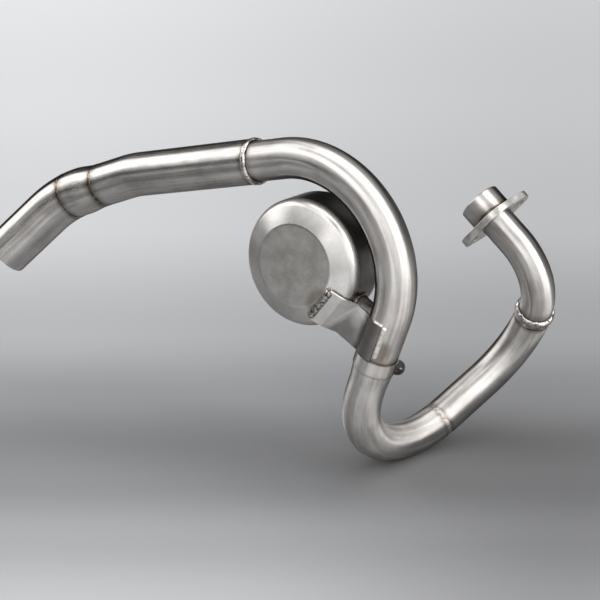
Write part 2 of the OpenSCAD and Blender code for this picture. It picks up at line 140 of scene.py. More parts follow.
# %% [markdown]
# ## Helpers for node trees
# A material is a graph of small nodes, and a world is one too. Each node could be added, set and
# linked on lines of its own, but the graph is easier to read when one call does all three.


# %% Add a node in one call
def wire(tree, kind, inputs=None, **settings):
    """Adds a node, sets its properties and fills its inputs with values or links."""
    node = tree.nodes.new(kind)
    for key, value in settings.items():
        setattr(node, key, value)
    for key, value in (inputs or {}).items():
        if isinstance(value, bpy.types.NodeSocket):
            tree.links.new(value, node.inputs[key])
        else:
            node.inputs[key].default_value = value
    return node


def math_node(tree, operation, a, b=0.0):
    return wire(tree, "ShaderNodeMath", {0: a, 1: b}, operation=operation).outputs[0]


def vector_node(tree, operation, a, b=(0, 0, 0)):
    """A vector operation; one that measures gives its number."""
    node = wire(tree, "ShaderNodeVectorMath", {0: a, 1: b}, operation=operation)
    measures = operation in ("LENGTH", "DISTANCE", "DOT_PRODUCT")
    return node.outputs["Value" if measures else "Vector"]


def ramp(tree, value, low, high, out_low=0.0, out_high=1.0):
    """Maps a value smoothly from one range to another."""
    inputs = dict(enumerate((value, low, high, out_low, out_high)))
    return wire(
        tree, "ShaderNodeMapRange", inputs, interpolation_type="SMOOTHSTEP"
    ).outputs[0]


def colour_mix(tree, factor, a, b):
    return wire(tree, "ShaderNodeMix", {0: factor, 6: a, 7: b}, data_type="RGBA").outputs[2]


def grey_mix(tree, factor, a, b):
    return wire(tree, "ShaderNodeMix", {0: factor, 2: a, 3: b}).outputs[0]


def as_grey(tree, level):
    return wire(tree, "ShaderNodeCombineColor", {0: level, 1: level, 2: level}).outputs[0]


def attribute(tree, name):
    return wire(tree, "ShaderNodeAttribute", attribute_name=name).outputs["Vector"]


def object_place(tree):
    return wire(tree, "ShaderNodeTexCoord").outputs["Object"]


def grain_noise(tree, vector, stretch, detail=3.0):
    """Noise on a coordinate that is scaled differently along each of its axes."""
    scaled = wire(tree, "ShaderNodeMapping", {"Vector": vector, "Scale": stretch})
    inputs = {"Vector": scaled.outputs[0], "Scale": 1.0, "Detail": detail, "Roughness": 0.55}
    return wire(tree, "ShaderNodeTexNoise", inputs).outputs[0]


# %% Start and finish a material
def new_material(name):
    material = bpy.data.materials.new(name)
    material.use_nodes = True
    print("material", name)
    return material, material.node_tree, material.node_tree.nodes["Principled BSDF"]


def dress_metal(tree, shader, colour, roughness, height, strength, depth):
    """Gives the shader of a metal its colour, its roughness and its bump."""
    shader.inputs["Metallic"].default_value = 1.0
    tree.links.new(colour, shader.inputs["Base Color"])
    tree.links.new(roughness, shader.inputs["Roughness"])
    if strength:
        inputs = {"Height": height, "Strength": strength, "Distance": depth}
        bump = wire(tree, "ShaderNodeBump", inputs)
        tree.links.new(bump.outputs[0], shader.inputs["Normal"])


# %% [markdown]
# ## Heat on stainless steel
# Next to a weld the heat leaves a brown halo and a nearly black core. It could be painted on an
# image, but it always sits at a known distance from the weld, so it is worked out from that
# distance. A little noise makes its edge wander, as a torch does.

# %% The colours of the steel, of its heat tint and of its painted shade
steel_light = (0.71, 0.685, 0.66, 1)
steel_deep = (0.50, 0.475, 0.455, 1)
heat_and_shade_brown = (0.24, 0.185, 0.145, 1)
heat_and_shade_black = (0.07, 0.055, 0.045, 1)
# The specular tint of the steel, which paints shade on its edges.
edge_shade = (0.20, 0.19, 0.185, 1)


# Besides the heat of the welds, this tint also paints shade in the spigot's groove.
def heat_and_shade_tint(tree, colour, along, clouds, places, width):
    """Colours the steel around each of the places along the tube."""
    wobble = math_node(tree, "MULTIPLY", ramp(tree, clouds, 0.2, 0.8, -1, 1), width / 2)
    along = math_node(tree, "ADD", along, wobble)
    nearest = None
    for place in places:
        gap = math_node(tree, "ABSOLUTE", math_node(tree, "SUBTRACT", along, place))
        nearest = gap if nearest is None else math_node(tree, "MINIMUM", nearest, gap)
    halo = ramp(tree, nearest, width * 0.3, width * 2.2, 0.6, 0.0)
    colour = colour_mix(tree, halo, colour, heat_and_shade_brown)
    core = ramp(tree, nearest, width * 0.1, width * 0.5, 0.85, 0.0)
    return colour_mix(tree, core, colour, heat_and_shade_black)


def burnt_spot(tree, colour, clouds, middle, radius):
    """Colours one round spot on the steel."""
    away = vector_node(tree, "DISTANCE", object_place(tree), middle)
    wander = math_node(tree, "MULTIPLY", ramp(tree, clouds, 0.2, 0.8), 3 * MM)
    away = math_node(tree, "ADD", away, wander)
    spot = ramp(tree, away, radius * 0.5, radius, 0.75, 0.0)
    return colour_mix(tree, spot, colour, heat_and_shade_brown)


print("heat goes from", heat_and_shade_brown[:3], "to", heat_and_shade_black[:3])

# %% [markdown]
# ## Satin steel
# The real tubes are polished with a belt that runs round them. Such fine lines draw a reflection
# out along the tube, which gives the long soft bands of light in the photograph. Lines made with
# bump would sparkle in the render, so the shader's anisotropy does it. It needs to know which way
# the tube runs at every point, and each mesh carries that as an attribute called lengthwise.
#
# A second attribute, called grain, is each point's place on the tube as if the tube were
# straight. Noise on that coordinate, squeezed across the tube and stretched along it, gives
# streaks that follow the pipe round its bends. The specular tint darkens the steel where it turns
# away, which paints shade along the edges of each tube.

# %% The satin steel of the tubes
# Scales of the patterns across, across and along the tube.
streak_scale = (1100, 1100, 16)
cloud_scale = (45, 45, 30)
fine_scale = (2600, 2600, 120)
band_scale = (260, 260, 7)

tube_rough = (0.31, 0.38)
tail_rough = (0.21, 0.28)


def satin_steel(name, tints=(), rough=tube_rough, streak=0.06, tint_width=4 * MM, burn=None):
    """Brushed stainless steel; tints are places along the tube where a weld has coloured it, and on
    the spigot the place of its groove, darkened as painted shade. A burn is one more coloured spot,
    given by its middle and its radius."""
    material, tree, shader = new_material(name)
    grain = attribute(tree, "grain")
    streaks = grain_noise(tree, grain, streak_scale)
    clouds = grain_noise(tree, grain, cloud_scale, 4.0)
    fine = grain_noise(tree, grain, fine_scale, 2.0)
    bands = grain_noise(tree, grain, band_scale, 4.0)
    tone = ramp(tree, math_node(tree, "ADD", clouds, bands), 0.75, 1.15)
    colour = colour_mix(tree, tone, steel_deep, steel_light)
    if tints:
        along = wire(tree, "ShaderNodeSeparateXYZ", {0: grain}).outputs[2]
        colour = heat_and_shade_tint(tree, colour, along, clouds, tints, tint_width)
    if burn:
        colour = burnt_spot(tree, colour, clouds, *burn)
    roughness = ramp(tree, streaks, 0.3, 0.7, *rough)
    both = math_node(tree, "ADD", streaks, math_node(tree, "MULTIPLY", fine, 0.5))
    dress_metal(tree, shader, colour, roughness, both, streak, 0.02 * MM)
    # The specular tint paints shade along the edges of the tube.
    shader.inputs["Specular Tint"].default_value = edge_shade
    shader.inputs["Anisotropic"].default_value = 1.0
    tree.links.new(attribute(tree, "lengthwise"), shader.inputs["Tangent"])
    return material


# %% [markdown]
# ## A tube swept along the route
# A tube could be a curve with a round bevel, but a curve keeps neither the true arcs nor the
# widened ends. So a tube starts as one ring of vertices. The ring is extruded again and again:
# moved straight on, grown where the tube is widened, or turned about the centre of a bend.

# %% Steps of a sweep
ring_segments = 128
bend_step = math.radians(2)
plain_run_steps = 3
widening_steps = 12
print("a ring has", ring_segments, "points, and a bend a ring every 2 degrees")


def next_ring(bm, edges):
    """Extrudes a ring of edges and returns the new points and edges."""
    made = bmesh.ops.extrude_edge_only(bm, edges=edges)["geom"]
    ring = [item for item in made if isinstance(item, bmesh.types.BMVert)]
    fresh = set(ring)
    edges = [
        item
        for item in made
        if isinstance(item, bmesh.types.BMEdge) and fresh.issuperset(item.verts)
    ]
    return ring, edges


# %% Sweep a ring along straight runs and bends
def sweep(bm, place, direction, radius, legs):
    """Extrudes a ring along the legs and returns its first and its last edges and its length."""
    grain = bm.verts.layers.float_vector["grain"]
    lengthwise = bm.verts.layers.float_vector["lengthwise"]
    face_along = direction.to_track_quat("Z", "Y").to_matrix().to_4x4()
    side = face_along.to_3x3().col[0].copy()
    ring = bmesh.ops.create_circle(
        bm, segments=ring_segments, radius=radius, matrix=Matrix.Translation(place) @ face_along
    )["verts"]
    edges = list({edge for vert in ring for edge in vert.link_edges})
    first = edges
    along = 0.0

    def mark():
        up = direction.cross(side)
        for vert in ring:
            out = vert.co - place
            vert[grain] = Vector((out.dot(side), out.dot(up), along))
            vert[lengthwise] = direction

    mark()
    for kind, *measures in legs:
        if kind == "run":
            length, end_radius = measures
            widens = abs(end_radius - radius) > 1e-6
            steps = widening_steps if widens else plain_run_steps
            shift = direction * (length / steps)
            start_radius = radius
        else:
            bend, from_angle, to_angle = measures
            centre = bend_centre(bend)
            steps = max(2, round((to_angle - from_angle) / bend_step))
            step_angle = (to_angle - from_angle) / steps
            swing = Matrix.Rotation(step_angle, 3, bend_axis(bend))
        for k in range(steps):
            ring, edges = next_ring(bm, edges)
            if kind == "run":
                part = (k + 1) / steps
                smooth = part * part * (3 - 2 * part)
                target = start_radius + (end_radius - start_radius) * smooth
                place = place + shift
                along += shift.length
                bmesh.ops.translate(bm, verts=ring, vec=shift)
                if abs(target - radius) > 1e-9:
                    grow = target / radius
                    bmesh.ops.scale(
                        bm, verts=ring, vec=(grow, grow, grow), space=Matrix.Translation(-place)
                    )
                radius = target
            else:
                bmesh.ops.rotate(bm, verts=ring, cent=centre, matrix=swing)
                place = centre + swing @ (place - centre)
                direction = swing @ direction
                side = swing @ side
                along += step_angle * bend_radii[bend]
            mark()
    return first, edges, along


# %% [markdown]
# ## From a bmesh to a piece
# Every new piece ends the same way: its mesh is shaded smooth with sharp edges kept, it gets its
# material, rides on the one body of the header and takes the place of its CAD piece. The object
# itself stays at the origin, and the mesh holds the place.


# %% Turn a finished bmesh into a piece
def finish_piece(bm, node, material, sharp=35):
    name = "shown_" + node
    mesh = bpy.data.meshes.new(name)
    bm.to_mesh(mesh)
    bm.free()
    mesh.shade_smooth()
    mesh.set_sharp_from_angle(angle=math.radians(sharp))
    mesh.materials.append(material)
    made = bpy.data.objects.new(name, mesh)
    bpy.context.scene.collection.objects.link(made)
    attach(made, "root")
    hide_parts(node)
    print(name, "has", len(mesh.polygons), "faces")
    return made


def grained_bmesh():
    """An empty bmesh whose points can carry the two attributes of the satin steel."""
    bm = bmesh.new()
    for name in ("grain", "lengthwise"):
        bm.verts.layers.float_vector.new(name)
    return bm


# %% [markdown]
# ## The wall of a tube
# The photograph shows no bore, but the finished model has one, so a tube is not a solid rod. A
# Solidify modifier could give the wall. Here a second, smaller ring is swept for the bore, which
# keeps the wall exact at the widened ends too, and bridging the rings at both ends closes it.


# %% Make one tube
def tube(node, place, direction, diameter, legs, tints=(), burn=None, rough=tube_rough):
    """A tube with its wall; tints count from its start, and a negative one from its end."""
    bm = grained_bmesh()
    skins = []
    for shrink in (0.0, tube_wall):
        thinner = [
            (leg[0], leg[1], leg[2] - shrink) if leg[0] == "run" else leg for leg in legs
        ]
        skins.append(sweep(bm, place, direction, diameter / 2 - shrink, thinner))
    for end in (0, 1):
        bmesh.ops.bridge_loops(bm, edges=skins[0][end] + skins[1][end])
    bmesh.ops.recalc_face_normals(bm, faces=bm.faces)
    length = skins[0][2]
    places = [tint if tint >= 0 else length + tint for tint in tints]
    steel = satin_steel("steel_" + node, places, rough, burn=burn)
    return finish_piece(bm, node, steel)


# %% [markdown]
# ## Where one tube ends and the next begins
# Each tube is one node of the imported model. A weld or the slip joint parts it from the next. Two
# of the seams lie inside a bend, as they do in the photograph, so they are given as an angle.

# %% The seams and the slip joint
front_seat = 6 * MM
front_overlap = 5 * MM
lower_weld_turn = math.radians(7)
tail_weld_turn = math.radians(9)
swage = 4 * MM
socket_depth = 13 * MM
socket_neck = 13 * MM
slip_reach = 38 * MM
socket_d = arc_tube_d + 2 * tube_wall + 0.2 * MM
arc_runout = 36 * MM
mid_runout = 35 * MM
slip_rim = bend_end(U_BEND) + heading(U_BEND) * slip_reach
mid_rim = bend_end(ARC) + heading(ARC) * arc_runout
expander_foot = bend_end(KINK) + heading(KINK) * mid_runout
print("the slip joint's rim is at", [round(c / MM, 1) for c in slip_rim], "mm")

# %% [markdown]
# ## The front and lower tubes
# The two narrow tubes come down from the cylinder head and pass under the engine. Each is drawn
# with the legs that a bender would enter. Their welds leave a tint a few millimetres from the
# joint, since the wide bead itself hides the hottest part.

# %% Make the front and lower tubes
tube(
    "front_tube",
    -heading(0) * front_seat,
    heading(0),
    front_tube_d,
    [
        ("run", straight(0) + front_seat, front_tube_d / 2),
        ("bend", FRONT, 0, turn(FRONT)),
        ("run", front_overlap, front_tube_d / 2),
    ],
    tints=(-7 * MM,),
)
tube(
    "lower_tube",
    bend_end(FRONT) + heading(FRONT) * front_overlap,
    heading(FRONT),
    lower_tube_d,
    [
        ("run", straight(FRONT) - front_overlap, lower_tube_d / 2),
        ("bend", LOWER, 0, turn(LOWER)),
        ("run", straight(LOWER), lower_tube_d / 2),
        ("bend", U_BEND, 0, lower_weld_turn),
    ],
    tints=(6.5 * MM, -1 * MM),
)

# %% [markdown]
# ## The slip joint
# The end of the U bend is pressed wider in two steps, so that the arc tube slides into it. The
# socket is therefore part of the same tube and not a collar around it. The bracket is welded to
# the arc just above the rim, which leaves a brown spot on the tube there.

# %% Make the U bend and the arc
burn_radius = 17 * MM
burn_middle = slip_rim + heading(U_BEND) * 12 * MM + Vector((9, -19, 0)) * MM

tube(
    "u_bend_tube",
    *on_bend(U_BEND, lower_weld_turn),
    lower_tube_d,
    [
        ("bend", U_BEND, lower_weld_turn, turn(U_BEND)),
        ("run", slip_reach - socket_depth - socket_neck - 2 * swage, lower_tube_d / 2),
        ("run", swage + socket_neck, arc_tube_d / 2),
        ("run", swage, socket_d / 2),
        ("run", socket_depth, socket_d / 2),
    ],
    tints=(1 * MM,),
)
tube(
    "arc_tube",
    slip_rim - heading(U_BEND) * socket_depth,
    heading(U_BEND),
    arc_tube_d,
    [
        ("run", straight(U_BEND) - slip_reach + socket_depth, arc_tube_d / 2),
        ("bend", ARC, 0, turn(ARC)),
        ("run", arc_runout, arc_tube_d / 2),
    ],
    tints=(socket_depth + 1 * MM, -2 * MM),
    burn=(burn_middle, burn_radius),
)

# %% [markdown]
# ## The tubes towards the tail
# Behind the arc the pipe grows in two steps, from 45 to 50 mm, through a short cone. These tubes
# shine more than the rest in the photograph, so their roughness is lower.

# %% Make the mid tube, the expander and the tail
tube(
    "mid_tube",
    mid_rim,
    heading(ARC),
    mid_tube_d,
    [
        ("run", straight(ARC) - arc_runout, mid_tube_d / 2),
        ("bend", KINK, 0, turn(KINK)),
        ("run", mid_runout, mid_tube_d / 2),
    ],
    tints=(1 * MM, -1 * MM),
    rough=tail_rough,
)
tube(
    "expander",
    expander_foot,
    heading(KINK),
    mid_tube_d,
    [
        ("run", straight(KINK) - mid_runout, tail_tube_d / 2),
        ("bend", TAIL, 0, tail_weld_turn),
    ],
    tints=(1 * MM, -1 * MM),
    rough=tail_rough,
)
tube(
    "tail_tube",
    *on_bend(TAIL, tail_weld_turn),
    tail_tube_d,
    [
        ("bend", TAIL, tail_weld_turn, turn(TAIL)),
        ("run", straight(TAIL), tail_tube_d / 2),
    ],
    tints=(1 * MM,),
    rough=tail_rough,
)

# %% [markdown]
# ## Weld metal
# A bead cools in small lumps, bright on their crests and brown with oxide between them. One noise
# drives the colour, the roughness and the bump together, so the bright spots are also the smooth
# and the high ones. Wide beads that were brushed afterwards are paler and calmer than thin ones.


# %% The weld metals
def weld_metal(name, light, dark, blotches=380, rough=(0.42, 0.18), lumps=0.5):
    """Metal of a bead; the roughness runs from its dark to its light places."""
    material, tree, shader = new_material(name)
    blotch = grain_noise(tree, object_place(tree), (blotches, blotches, blotches), 4.0)
    colour = colour_mix(tree, ramp(tree, blotch, 0.38, 0.6), dark, light)
    roughness = ramp(tree, blotch, 0.3, 0.7, *rough)
    dress_metal(tree, shader, colour, roughness, blotch, lumps, 0.15 * MM)
    return material


bright_weld = weld_metal("bright_weld", (0.62, 0.60, 0.57, 1), (0.09, 0.07, 0.055, 1))
brown_weld = weld_metal("brown_weld", (0.30, 0.265, 0.235, 1), (0.10, 0.08, 0.065, 1))
wide_weld = weld_metal(
    "wide_weld", (0.74, 0.72, 0.69, 1), (0.34, 0.30, 0.27, 1), 240, (0.34, 0.24), 0.25
)
flush_weld = weld_metal(
    "flush_weld", (0.46, 0.44, 0.42, 1), (0.26, 0.235, 0.215, 1), 300, (0.50, 0.40), 0.12
)
seam_weld = weld_metal(
    "seam_weld", (0.92, 0.90, 0.87, 1), (0.70, 0.67, 0.63, 1), 260, (0.62, 0.50), 0.2
)

# %% [markdown]
# ## Weld beads
# A bead is a row of small overlapping puddles. It could be a ring of separate lumps, but those
# would leave gaps in the mesh. A flattened circle is spun around the tube instead, and its points
# are pushed in and out in a regular ripple with a little noise.

# %% Sizes of the ripple
bead_segments = 14
steps_per_ripple = 6
ripple_lean = 0.4
most_lift = 1 * MM
lump_scale, lump_share = 260, 1.6
drift_scale, drift_share = 180, 0.12
drift_shift = Vector((3, 1, 7))
print("a ripple is drawn with", steps_per_ripple, "steps")


# %% Spin a bead round a tube
def round_bead(node, place, direction, radius, width, height, ripples, material, wave):
    """A bead of a width and a height around a tube; wave is the share that ripples."""
    bm = bmesh.new()
    side = direction.orthogonal().normalized()
    across = direction.cross(side)
    lay = Matrix((side * height, direction * (width / 2), across)).transposed().to_4x4()
    start = Matrix.Translation(place + side * radius) @ lay
    circle = bmesh.ops.create_circle(bm, segments=bead_segments, radius=1.0, matrix=start)
    edges = list({edge for vert in circle["verts"] for edge in vert.link_edges})
    bmesh.ops.spin(
        bm,
        geom=circle["verts"] + edges,
        cent=place,
        axis=direction,
        angle=math.tau,
        steps=ripples * steps_per_ripple,
        use_merge=True,
    )
    bmesh.ops.remove_doubles(bm, verts=bm.verts, dist=1e-6)
    for vert in bm.verts:
        from_axis = vert.co - place
        lift = from_axis.dot(direction)
        out = (from_axis - direction * lift).normalized()
        angle = math.atan2(out.dot(across), out.dot(side))
        crest = 2 * (lift / width) ** 2
        ripple = math.cos(ripples * (angle + crest * ripple_lean)) * wave
        uneven = noise.noise(vert.co * lump_scale) * wave * lump_share
        vert.co += out * min(height, most_lift) * (ripple + uneven)
        drift = noise.noise(vert.co * drift_scale + drift_shift)
        vert.co += direction * width * drift_share * drift
    bmesh.ops.recalc_face_normals(bm, faces=bm.faces)
    return finish_piece(bm, node, material, sharp=70)


# %% Make the round beads
round_bead(
    "front_weld",
    bend_end(FRONT) + heading(FRONT) * 4.5 * MM,
    heading(FRONT),
    radius=18.0 * MM,
    width=12 * MM,
    height=3 * MM,
    ripples=26,
    material=wide_weld,
    wave=0.06,
)
round_bead(
    "lower_weld",
    *on_bend(U_BEND, lower_weld_turn),
    radius=18.9 * MM,
    width=6 * MM,
    height=0.22 * MM,
    ripples=40,
    material=flush_weld,
    wave=0.1,
)
round_bead(
    "arc_weld",
    mid_rim,
    heading(ARC),
    radius=21.4 * MM,
    width=6 * MM,
    height=1.9 * MM,
    ripples=30,
    material=wide_weld,
    wave=0.08,
)
round_bead(
    "mid_weld",
    expander_foot,
    heading(KINK),
    radius=22.4 * MM,
    width=2.4 * MM,
    height=0.3 * MM,
    ripples=44,
    material=brown_weld,
    wave=0.06,
)
round_bead(
    "tail_weld",
    *on_bend(TAIL, tail_weld_turn),
    radius=24.9 * MM,
    width=2.4 * MM,
    height=0.3 * MM,
    ripples=48,
    material=brown_weld,
    wave=0.06,
)

# %% [markdown]
# ## The resonator drum
# The drum is a short round can with two pressed lids, and its axis leans a little. The outer lid
# is a cone with a flat middle. Its slope is the line that touches both rounded edges, so it is
# worked out from them and not typed.

# %% Sizes and place of the drum
drum_r = 62.5 * MM
drum_depth = 34 * MM
drum_sheet = 1.5 * MM
lid_rise = 18 * MM
lid_flat_r = 39 * MM
shoulder_r = 11 * MM
flat_edge_r = 5 * MM
back_rise = 9 * MM
drum_middle = Vector((-85, -207, -10)) * MM
drum_axis = Vector((math.tan(math.radians(3.4)), -1, math.tan(math.radians(2.9)))).normalized()

run = drum_r - shoulder_r - lid_flat_r
rise = lid_rise - flat_edge_r
lid_slope = math.atan2(rise, run) - math.asin((shoulder_r - flat_edge_r) / math.hypot(run, rise))
flat_corner_r = lid_flat_r + flat_edge_r * math.tan(lid_slope / 2)
shoulder_z = lid_rise - (drum_r - flat_corner_r) * math.tan(lid_slope)
print("the lid slopes by", round(math.degrees(lid_slope), 1), "degrees")

# %% [markdown]
# ## Spun profiles
# A pressed or turned piece is round about an axis, so it is a profile spun about that axis. The
# profile keeps plain corners, and a bevel then rounds the ring of edges at a corner, as the press
# tool does. That takes fewer numbers than a profile with every arc drawn in it.


# %% Spin a profile about an axis
def spun(points, place, axis, steps=144):
    """Spins a profile of (radius, height) points; it is closed unless it ends on the axis."""
    bm = grained_bmesh()
    side = axis.to_track_quat("Z", "Y").to_matrix().col[0]
    chain = [bm.verts.new(place + side * radius + axis * height) for radius, height in points]
    edges = [bm.edges.new((a, b)) for a, b in zip(chain, chain[1:])]
    if points[0][0] > 0 and points[-1][0] > 0:
        edges.append(bm.edges.new((chain[-1], chain[0])))
    bmesh.ops.spin(
        bm,
        geom=chain + edges,
        cent=place,
        axis=axis,
        angle=math.tau,
        steps=steps,
        use_merge=True,
    )
    bmesh.ops.remove_doubles(bm, verts=bm.verts, dist=1e-6)
    bmesh.ops.recalc_face_normals(bm, faces=bm.faces)
    return bm


def mark_grain(bm, place, axis):
    """Stores each point's place in the frame of the axis, and the axis itself."""
    grain = bm.verts.layers.float_vector["grain"]
    lengthwise = bm.verts.layers.float_vector["lengthwise"]
    to_axis_frame = axis.to_track_quat("Z", "Y").to_matrix().transposed()
    for vert in bm.verts:
        vert[grain] = to_axis_frame @ (vert.co - place)
        vert[lengthwise] = axis


def round_off(bm, place, axis, radius, height, offset, segments):
    """Bevels the ring of edges at a radius and a height."""
    near = 1e-5
    ring = []
    for edge in bm.edges:
        ends = [vert.co - place for vert in edge.verts]
        heights = [end.dot(axis) for end in ends]
        radii = [(end - axis * h).length for end, h in zip(ends, heights)]
        at_height = all(abs(h - height) < near for h in heights)
        if at_height and all(abs(r - radius) < near for r in radii):
            ring.append(edge)
    print("rounding off a ring of", len(ring), "edges")
    bmesh.ops.bevel(
        bm,
        geom=ring,
        offset=offset,
        offset_type="OFFSET",
        affect="EDGES",
        segments=segments,
        profile=0.5,
        material=-1,
    )


# %% [markdown]
# ## The drum's steel
# The press leaves the cone of the lid satin, and the flat in its middle is dull and pitted. One
# material does both. It reads the distance from the drum's axis and goes from one finish to the
# other there, with a slightly wavy edge. Heat has browned the steel around the bracket's weld.
# The wall behind the lid takes the same steel painted darker, as painted shade.

# %% Colours of the drum
satin_greys = ((0.58, 0.565, 0.545), (0.70, 0.68, 0.66))
pressed_dark = (0.42, 0.40, 0.38, 1)
pressed_light = (0.62, 0.60, 0.58, 1)
# The wall's satin is darkened to this share, as painted shade.
wall_shade = 0.2
print("the drum's flat goes from", pressed_dark[:3], "to", pressed_light[:3])


# %% The drum's steel: satin on the cone and the wall, pitted and dull on the lid's flat
def on_lid_flat(tree, grain, clouds):
    """One on the flat of the outer lid and nought elsewhere."""
    axes = wire(tree, "ShaderNodeSeparateXYZ", {0: grain}).outputs
    level = wire(tree, "ShaderNodeCombineXYZ", {0: axes[0], 1: axes[1]}).outputs[0]
    from_axis = vector_node(tree, "LENGTH", level)
    wavy = math_node(tree, "ADD", from_axis, math_node(tree, "MULTIPLY", clouds, 1.5 * MM))
    within = ramp(tree, wavy, lid_flat_r - 1 * MM, lid_flat_r + 2.5 * MM, 1.0, 0.0)
    above = ramp(tree, axes[2], 10 * MM, 14 * MM)
    return math_node(tree, "MULTIPLY", within, above)


def near_bracket_weld(tree):
    """The strength of the brown around the bracket's weld on the lid."""
    low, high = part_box("bracket_lid_weld")
    away = vector_node(tree, "DISTANCE", object_place(tree), (low + high) / 2)
    return ramp(tree, away, 10 * MM, 19 * MM, 0.55, 0.0)


def drum_steel(name, shade=1.0):
    """Steel of the drum; shade darkens its satin, which paints shade on the wall."""
    material, tree, shader = new_material(name)
    grain = attribute(tree, "grain")
    clouds = grain_noise(tree, grain, (60, 60, 60), 5.0)
    pits = grain_noise(tree, grain, (900, 900, 900), 3.0)
    scuffs = grain_noise(tree, grain, (900, 900, 900), 4.0)
    dull = on_lid_flat(tree, grain, clouds)
    deep, pale = (tuple(level * shade for level in grey) + (1,) for grey in satin_greys)
    satin = colour_mix(tree, ramp(tree, clouds, 0.3, 0.7), deep, pale)
    patches = math_node(tree, "MULTIPLY", math_node(tree, "ADD", clouds, scuffs), 0.5)
    pressed = colour_mix(tree, ramp(tree, patches, 0.35, 0.65), pressed_dark, pressed_light)
    colour = colour_mix(tree, dull, satin, pressed)
    colour = colour_mix(tree, near_bracket_weld(tree), colour, heat_and_shade_brown)
    satin_rough = ramp(tree, scuffs, 0.3, 0.7, 0.27, 0.36)
    dull_rough = ramp(tree, scuffs, 0.3, 0.7, 0.48, 0.62)
    roughness = grey_mix(tree, dull, satin_rough, dull_rough)
    pitted = math_node(tree, "MULTIPLY", pits, ramp(tree, dull, 0, 1, 0.12, 1.0))
    dress_metal(tree, shader, colour, roughness, pitted, 0.55, 0.12 * MM)
    return material


drum_skin = drum_steel("drum_steel")
# The wall's darker steel is painted shade.
drum_wall_shaded_steel = drum_steel("drum_wall_shaded_steel", wall_shade)

# %% [markdown]
# ## The outer lid
# The lid is a dished sheet of even thickness. Its profile goes up the outside and back down the
# inside, and two bevels round its shoulder and the edge of its flat. A bevel that took the whole
# of an edge would leave doubled points, so each stops a little short.

# %% Make the outer lid
short_of_full = 0.98
shoulder_segments = 12
flat_edge_segments = 5
shoulder_cut = shoulder_r * math.tan((math.pi / 2 - lid_slope) / 2) * short_of_full
flat_edge_cut = flat_edge_r * math.tan(lid_slope / 2)

lid = spun(
    [
        (0, lid_rise),
        (flat_corner_r, lid_rise),
        (drum_r, shoulder_z),
        (drum_r, 0),
        (drum_r - drum_sheet, 0),
        (drum_r - drum_sheet, shoulder_z - drum_sheet),
        (flat_corner_r, lid_rise - drum_sheet),
        (0, lid_rise - drum_sheet),
    ],
    drum_middle,
    drum_axis,
)
round_off(lid, drum_middle, drum_axis, drum_r, shoulder_z, shoulder_cut, shoulder_segments)
round_off(
    lid, drum_middle, drum_axis, flat_corner_r, lid_rise, flat_edge_cut, flat_edge_segments
)
mark_grain(lid, drum_middle, drum_axis)
finish_piece(lid, "drum_outer_lid", drum_skin)

# %% [markdown]
# ## The drum's wall and inner lid
# The wall is a rolled strip, and the inner lid is a flat dish with one large round edge. Both are
# mostly hidden behind the outer lid, but the model is seen from all sides, so they are made with
# the same care and from the same sheet.

# %% Make the wall and the inner lid
back_segments = 10
inner_foot = drum_middle - drum_axis * drum_depth
wall = spun(
    [
        (drum_r, 0),
        (drum_r, -drum_depth),
        (drum_r - drum_sheet, -drum_depth),
        (drum_r - drum_sheet, 0),
    ],
    drum_middle,
    drum_axis,
)
mark_grain(wall, drum_middle, drum_axis)
finish_piece(wall, "drum_shell", drum_wall_shaded_steel)

back_lid = spun(
    [
        (0, -back_rise),
        (drum_r, -back_rise),
        (drum_r, 0),
        (drum_r - drum_sheet, 0),
        (drum_r - drum_sheet, drum_sheet - back_rise),
        (0, drum_sheet - back_rise),
    ],
    inner_foot,
    drum_axis,
)
round_off(
    back_lid,
    inner_foot,
    drum_axis,
    drum_r,
    -back_rise,
    back_rise * short_of_full,
    back_segments,
)
mark_grain(back_lid, inner_foot, drum_axis)
finish_piece(back_lid, "drum_inner_lid", drum_skin)

# %% [markdown]
# ## The spigot
# The spigot is turned on a lathe, with a chamfer at its mouth and a groove for the flange, so it
# is a spun profile too. It is drawn 22 mm long, because the photograph shows more of it than the
# imported piece has. The heat tint is used again to darken the groove, as painted shade.

# %% Turn the spigot
spigot_d = 44 * MM
spigot_length = 22 * MM
groove_width = 1.5 * MM
groove_depth = 2 * MM
spigot_chamfer = 1 * MM
spigot_bore = front_tube_d / 2 - tube_wall

spigot = spun(
    [
        (spigot_bore, -spigot_length),
        (spigot_d / 2 - spigot_chamfer, -spigot_length),
        (spigot_d / 2, spigot_chamfer - spigot_length),
        (spigot_d / 2, -groove_width),
        (spigot_d / 2 - groove_depth, -groove_width),
        (spigot_d / 2 - groove_depth, 0),
        (front_tube_d / 2, 0),
        (front_tube_d / 2, -front_seat),
        (spigot_bore, -front_seat),
    ],
    corners[0],
    heading(0),
    steps=128,
)
mark_grain(spigot, corners[0], heading(0))
# The tint at the groove is painted shade.
turned_steel = satin_steel(
    "turned_steel", (-1.5 * MM,), rough=(0.28, 0.36), streak=0.1, tint_width=4.5 * MM
)
finish_piece(spigot, "inlet_spigot", turned_steel)

# %% [markdown]
# ## Copies of the cut pieces
# The flange, the bracket, the spring lug, the neck and the odd welds have outlines that the
# imported model already holds, so drawing them again would add nothing. A copy of each mesh is
# merged, and where a piece is bevelled its flat faces are joined up first. A real cut edge is
# never knife sharp, and a small bevel lets it catch the light.


